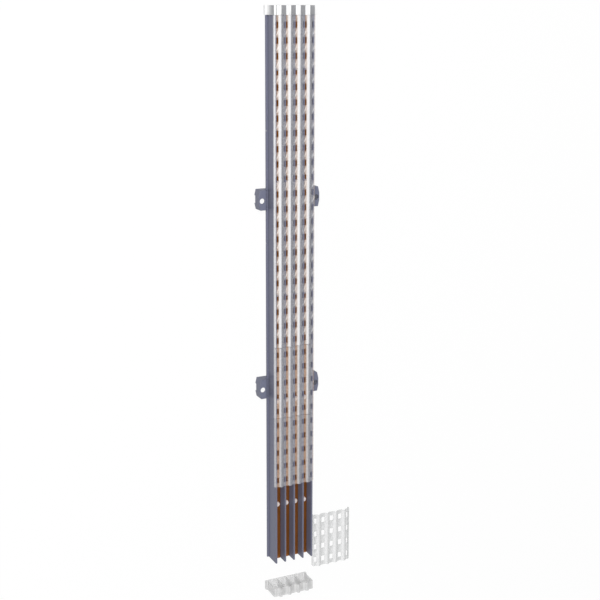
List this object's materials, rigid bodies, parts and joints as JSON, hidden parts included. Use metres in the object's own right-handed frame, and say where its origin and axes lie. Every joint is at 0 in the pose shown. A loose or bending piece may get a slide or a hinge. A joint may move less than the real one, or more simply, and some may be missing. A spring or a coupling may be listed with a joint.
{
  "type": "insulated busbar trunking",
  "caption": "Straight insulated busbar trunking: a walled plastic trough holding flat copper bars, with slotted corrugated clear covers, end caps and clip-on stand-off feet.",
  "frame": {"origin": "middle of the four foot screw holes, on the mounting plane that the backs of the feet lie on", "axes": "+Z out of the front, away from the mounting plane; +Y along the trunking to its capped end; +X across it"},
  "size_m": [0.1832, 1.0261, 0.0455],
  "materials": {
    "trough_plastic": "satin moulded",
    "foot_plastic": "satin moulded",
    "copper": "drawn copper, lightly tarnished",
    "plated_steel": "zinc plated",
    "clear_cover": "translucent moulded",
    "cap_plastic": "milky translucent moulded"
  },
  "bodies": {
    "root": {"trough_module_1": "trough_plastic", "trough_module_2": "trough_plastic", "trough_module_3": "trough_plastic", "trough_module_4": "trough_plastic", "trough_module_5": "trough_plastic", "copper_bar_1": "copper", "copper_bar_2": "copper", "copper_bar_3": "copper", "copper_bar_4": "copper", "bar_screws_1": "plated_steel", "bar_screws_2": "plated_steel", "bar_screws_3": "plated_steel", "bar_screws_4": "plated_steel", "front_cover_long": "clear_cover", "front_cover_middle": "clear_cover", "front_cover_lower": "clear_cover", "loose_cover": "clear_cover", "top_cap": "cap_plastic", "loose_cap": "cap_plastic", "foot_left_upper": "foot_plastic", "foot_left_lower": "foot_plastic", "foot_right_upper": "foot_plastic", "foot_right_lower": "foot_plastic"}
  },
  "joints": []
}
